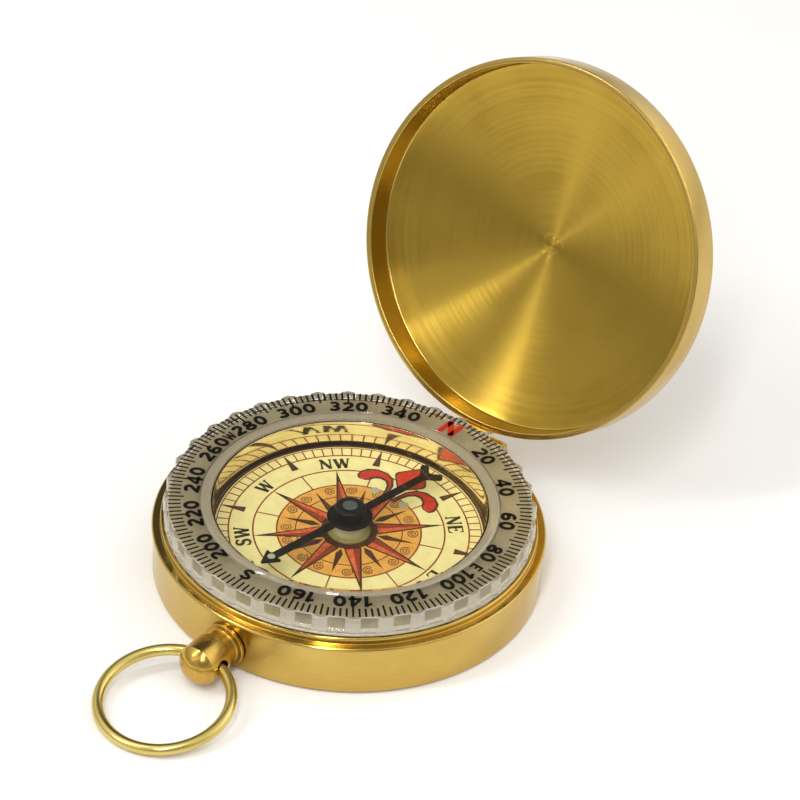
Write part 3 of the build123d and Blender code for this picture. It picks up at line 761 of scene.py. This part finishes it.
tick_end, tick_start, long_tick_start, north_tick_start, tick_width = 22.97, 21.4, 20.95, 22.15, 0.27
figure_radius, figure_height, foil = 20.0, 2.05, 0.012
marks = []
for step in range(180):
    inner = long_tick_start if step % 5 == 0 else tick_start
    if step in (178, 179, 0, 1, 2):
        inner = north_tick_start
    bearing = step * 2 + bezel_turn
    marks.append(line([at(inner, bearing), at(tick_end, bearing)], tick_width))
for figure in range(20, 360, 20):
    if figure != 180:
        shapes = lettered(str(figure), bold, figure_height, 0.1)
        marks.extend(stand(shapes, figure_radius, figure + bezel_turn))
for bearing, mark, height in ((90, "E", 1.6), (180, "S", figure_height), (270, "W", 1.6)):
    marks.extend(stand(lettered(mark, bold, height, 0), figure_radius, bearing + bezel_turn))
ink("bezel_scale", marks, bezel_high, foil, scale_black, "bezel")
north = stand(lettered("N", bold, 2.9, 0), 20.6, bezel_turn)
ink("bezel_north", north, bezel_high, foil, scale_red, "bezel")


# Lid
# A cup turned from brass like the case, with a domed back. It is polished outside, brushed on the
# lathe in fine circles inside, with a centre mark, and stands open on the hinge's stop.
# Circular brushed brass: bright fans that follow the lights round the centre, from rings of
# scratches about 0.05 mm apart, drawn 0.45 mm apart so that they show.
brushed_brass = turned_brass("circular_brushed_brass", "#B8993F", "#AB8C37", 0.17, 0.24, 0.45, 0.0035,
                             brush=1.0)

open_angle, hinge_y, hinge_z = 111.5, 26.1, 6.3
hinge = Matrix.Translation((0, hinge_y * MM, hinge_z * MM))
lid_place = hinge @ Matrix.Rotation(math.radians(-open_angle), 4, "X") @ hinge.inverted()
lid_rim, lid_inner, lid_outer, lid_wall = 7.2, 24.1, 24.9, 0.8
ceiling, lid_rise, centre_mark = 11.0, 2.7, 1.3
dome_in = (lid_inner**2 + lid_rise**2) / (2 * lid_rise)
dome_out = dome_in + lid_wall
dome_middle = ceiling + lid_rise - dome_in
lid_outline = []
for radius in [0, 0.6, centre_mark - 0.15, centre_mark, centre_mark + 0.15, *range(2, 24)]:
    dip = 0.03 if radius == centre_mark else 0.0
    lid_outline.append((radius, dome_middle + math.sqrt(dome_in**2 - radius**2) + dip, 0))
lid_outline += [(lid_inner, ceiling, 0.3), (lid_inner, lid_rim, 0.15), (lid_outer, lid_rim, 0.15)]
shoulder = dome_middle + math.sqrt(dome_out**2 - lid_outer**2)
lid_outline.append((lid_outer, shoulder, 0.6))
for radius in range(24, -1, -1):
    lid_outline.append((radius, dome_middle + math.sqrt(dome_out**2 - radius**2), 0))
lid = fit("lid_shell", turned("lid_shell", rounded(lid_outline)), [polished_brass, brushed_brass], "lid",
          ["lid_shell"], lid_place)
for face in lid.data.polygons:
    if face.normal.z < -0.85 and face.center.z > (ceiling - 0.2) * MM:
        face.material_index = 1
dress("lid_hinge_leaf", polished_brass)


# Floor, lights and camera
# A pale table in a white tent, brighter behind on the right and darkened by three flags, with two
# soft boxes and two thin strips that draw the fans in the lid, and a long lens at the photo's angle.
floor_finish = soft_paint("pale_table", "#FDFCFB", "#FAF9F8", 40.0, 0.6, 0.7)
floor_mesh = bpy.data.meshes.new("floor")
floor_mesh.from_pydata([(-3, -3, 0), (3, -3, 0), (3, 3, 0), (-3, 3, 0)], [], [(0, 1, 2, 3)])
floor_mesh.materials.append(floor_finish)
floor = bpy.data.objects.new("floor", floor_mesh)
floor.location.z = -0.02 * MM
bpy.context.scene.collection.objects.link(floor)

world = bpy.data.worlds.new("tent")
world.use_nodes = True
tree = world.node_tree
tree.nodes.clear()
where = add_node(tree, "ShaderNodeTexCoord").outputs["Generated"]
axes = add_node(tree, "ShaderNodeSeparateXYZ", links={0: where})
glow = add_node(tree, "ShaderNodeMapRange",
                {"From Min": 0.0, "From Max": 0.7, "To Min": 0.42, "To Max": 1.02},
                {"Value": axes.outputs[2]})
# Each patch of the tent: its direction, where it begins and is full, and its share of the glow.
patches = [
    ((-0.457, 0.668, 0.587), 0.82, 0.95, 0.1), ((0.457, -0.668, 0.587), 0.82, 0.95, 0.4),
    ((-0.05, -0.45, 0.89), 0.9325, 0.995, 0.12), ((0.5, 0.86, -0.1), 0.3, 0.95, 2.2),
]
for toward, begin, full, share in patches:
    near = add_node(tree, "ShaderNodeVectorMath", {"operation": "DOT_PRODUCT", 1: toward}, {0: where})
    patch = add_node(tree, "ShaderNodeMapRange",
                     {"interpolation_type": "SMOOTHSTEP", "From Min": begin, "From Max": full,
                      "To Min": 1.0, "To Max": share}, {"Value": near.outputs["Value"]})
    glow = add_node(tree, "ShaderNodeMath", {"operation": "MULTIPLY"},
                    {0: glow.outputs[0], 1: patch.outputs[0]})
sky = add_node(tree, "ShaderNodeBackground", {"Color": (1.0, 0.985, 0.96, 1.0)},
               {"Strength": glow.outputs[0]})
add_node(tree, "ShaderNodeOutputWorld", links={"Surface": sky.outputs[0]})
bpy.context.scene.world = world


def soft_box(name, toward, distance, width, height, power, lean=0.0):
    """A rectangular light in that direction from the lid's middle, facing it, and leaning sideways."""
    lamp = bpy.data.lights.new(name, "AREA")
    lamp.shape = "RECTANGLE"
    lamp.size, lamp.size_y, lamp.energy = width, height, power
    box = bpy.data.objects.new(name, lamp)
    aim = Vector((0, 42.5, 27.9)) * MM
    box.location = aim + Vector(toward).normalized() * distance
    facing = (aim - box.location).to_track_quat("-Z", "Y").to_matrix()
    box.rotation_euler = (facing @ Matrix.Rotation(math.radians(lean), 3, "Z")).to_euler()
    bpy.context.scene.collection.objects.link(box)


soft_box("left_box", (-0.353, -0.566, 0.745), 0.6, 0.04, 0.4, 0.8)
soft_box("right_box", (0.24, -0.6, 0.75), 0.6, 0.07, 0.4, 1.2)
soft_box("fan_left", (-0.424, -0.776, 0.468), 0.5, 0.012, 0.3, 0.025)
soft_box("fan_right", (-0.181, -0.893, 0.413), 0.5, 0.018, 0.3, 0.043, -40)

turn_round, look_down, roll = math.radians(34.4), math.radians(35.97), math.radians(3.65)
back = Vector((math.sin(turn_round) * math.cos(look_down), -math.cos(turn_round) * math.cos(look_down),
               math.sin(look_down)))
level_right = back.cross(Vector((0, 0, -1))).normalized()
level_up = back.cross(level_right)
right = level_right * math.cos(roll) + level_up * math.sin(roll)
up = level_up * math.cos(roll) - level_right * math.sin(roll)
distance, shift_right, shift_up, focal_pixels, image_pixels = 450, 6.78, 21.3, 3522, 800
spot = back * distance * MM + right * shift_right * MM + up * shift_up * MM
camera = bpy.data.cameras.new("camera")
camera.sensor_fit = "HORIZONTAL"
camera.sensor_width = 36.0
camera.lens = camera.sensor_width * focal_pixels / image_pixels
camera.clip_start = 0.01
view = bpy.data.objects.new("camera", camera)
view.matrix_world = Matrix.Translation(spot) @ Matrix((right, up, back)).transposed().to_4x4()
bpy.context.scene.collection.objects.link(view)
bpy.context.scene.camera = view
bpy.context.scene.view_settings.view_transform = "Standard"
